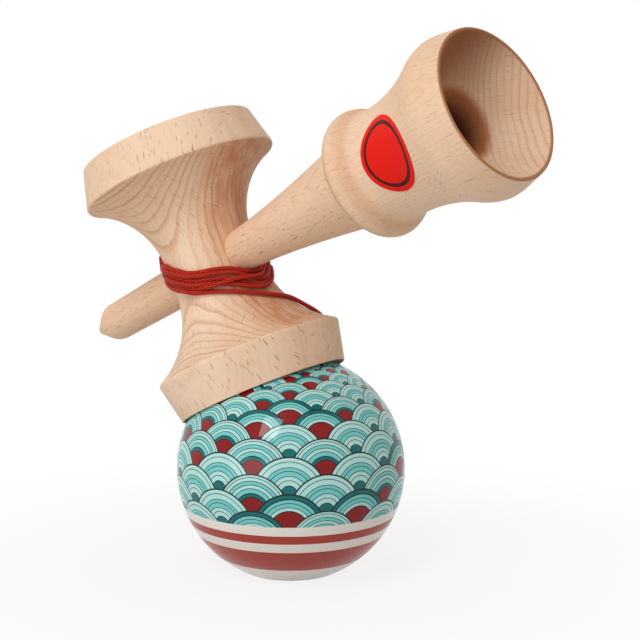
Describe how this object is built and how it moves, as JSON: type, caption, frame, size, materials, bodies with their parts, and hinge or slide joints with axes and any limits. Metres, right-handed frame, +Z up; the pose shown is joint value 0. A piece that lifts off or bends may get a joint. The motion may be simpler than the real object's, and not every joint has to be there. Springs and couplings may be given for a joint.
{
  "type": "cup and ball toy",
  "caption": "Wooden cup and ball toy put away: spiked handle through a double cup that rests on a bored, lacquered ball, with the joining cord wound round the cup's waist.",
  "frame": {"origin": "on the ball's axis, where the straight wall of its hole begins, 2 mm above the surface the ball stands on", "axes": "+Z up along the ball's axis, -Z out of the ball's hole, X to the right of the picture and +Y away from its viewer"},
  "size_m": [0.1187, 0.11, 0.1411],
  "materials": {
    "ball_lacquer": "gloss lacquer",
    "beech": "bare, sanded",
    "cord": "braided",
    "label": "satin",
    "bead": "gloss"
  },
  "bodies": {
    "tama": {"tama": "ball_lacquer"},
    "string_end": {"string_tail": "cord", "bead": "bead", "bead_knot": "cord"},
    "sarado": {"sarado": "beech", "string_winding": "cord"},
    "ken": {"ken": "beech", "ken_label": "label", "ken_knot": "cord", "string_lead": "cord"}
  },
  "joints": [
    {"name": "tama_spin", "type": "hinge", "parent": "tama", "child": "string_end", "pos_m": [0, 0, 0], "axis": [0, 0, 1], "continuous": true},
    {"name": "tama_lift", "type": "slide", "parent": "string_end", "child": "sarado", "axis": [-0.3658, 0.2385, 0.8996], "range_m": [0, 0.045], "deforming": ["string_tail"]},
    {"name": "ken_slide", "type": "slide", "parent": "sarado", "child": "ken", "axis": [0.667, -0.6069, 0.4321], "range_m": [0, 0.07], "deforming": ["string_lead"]}
  ]
}
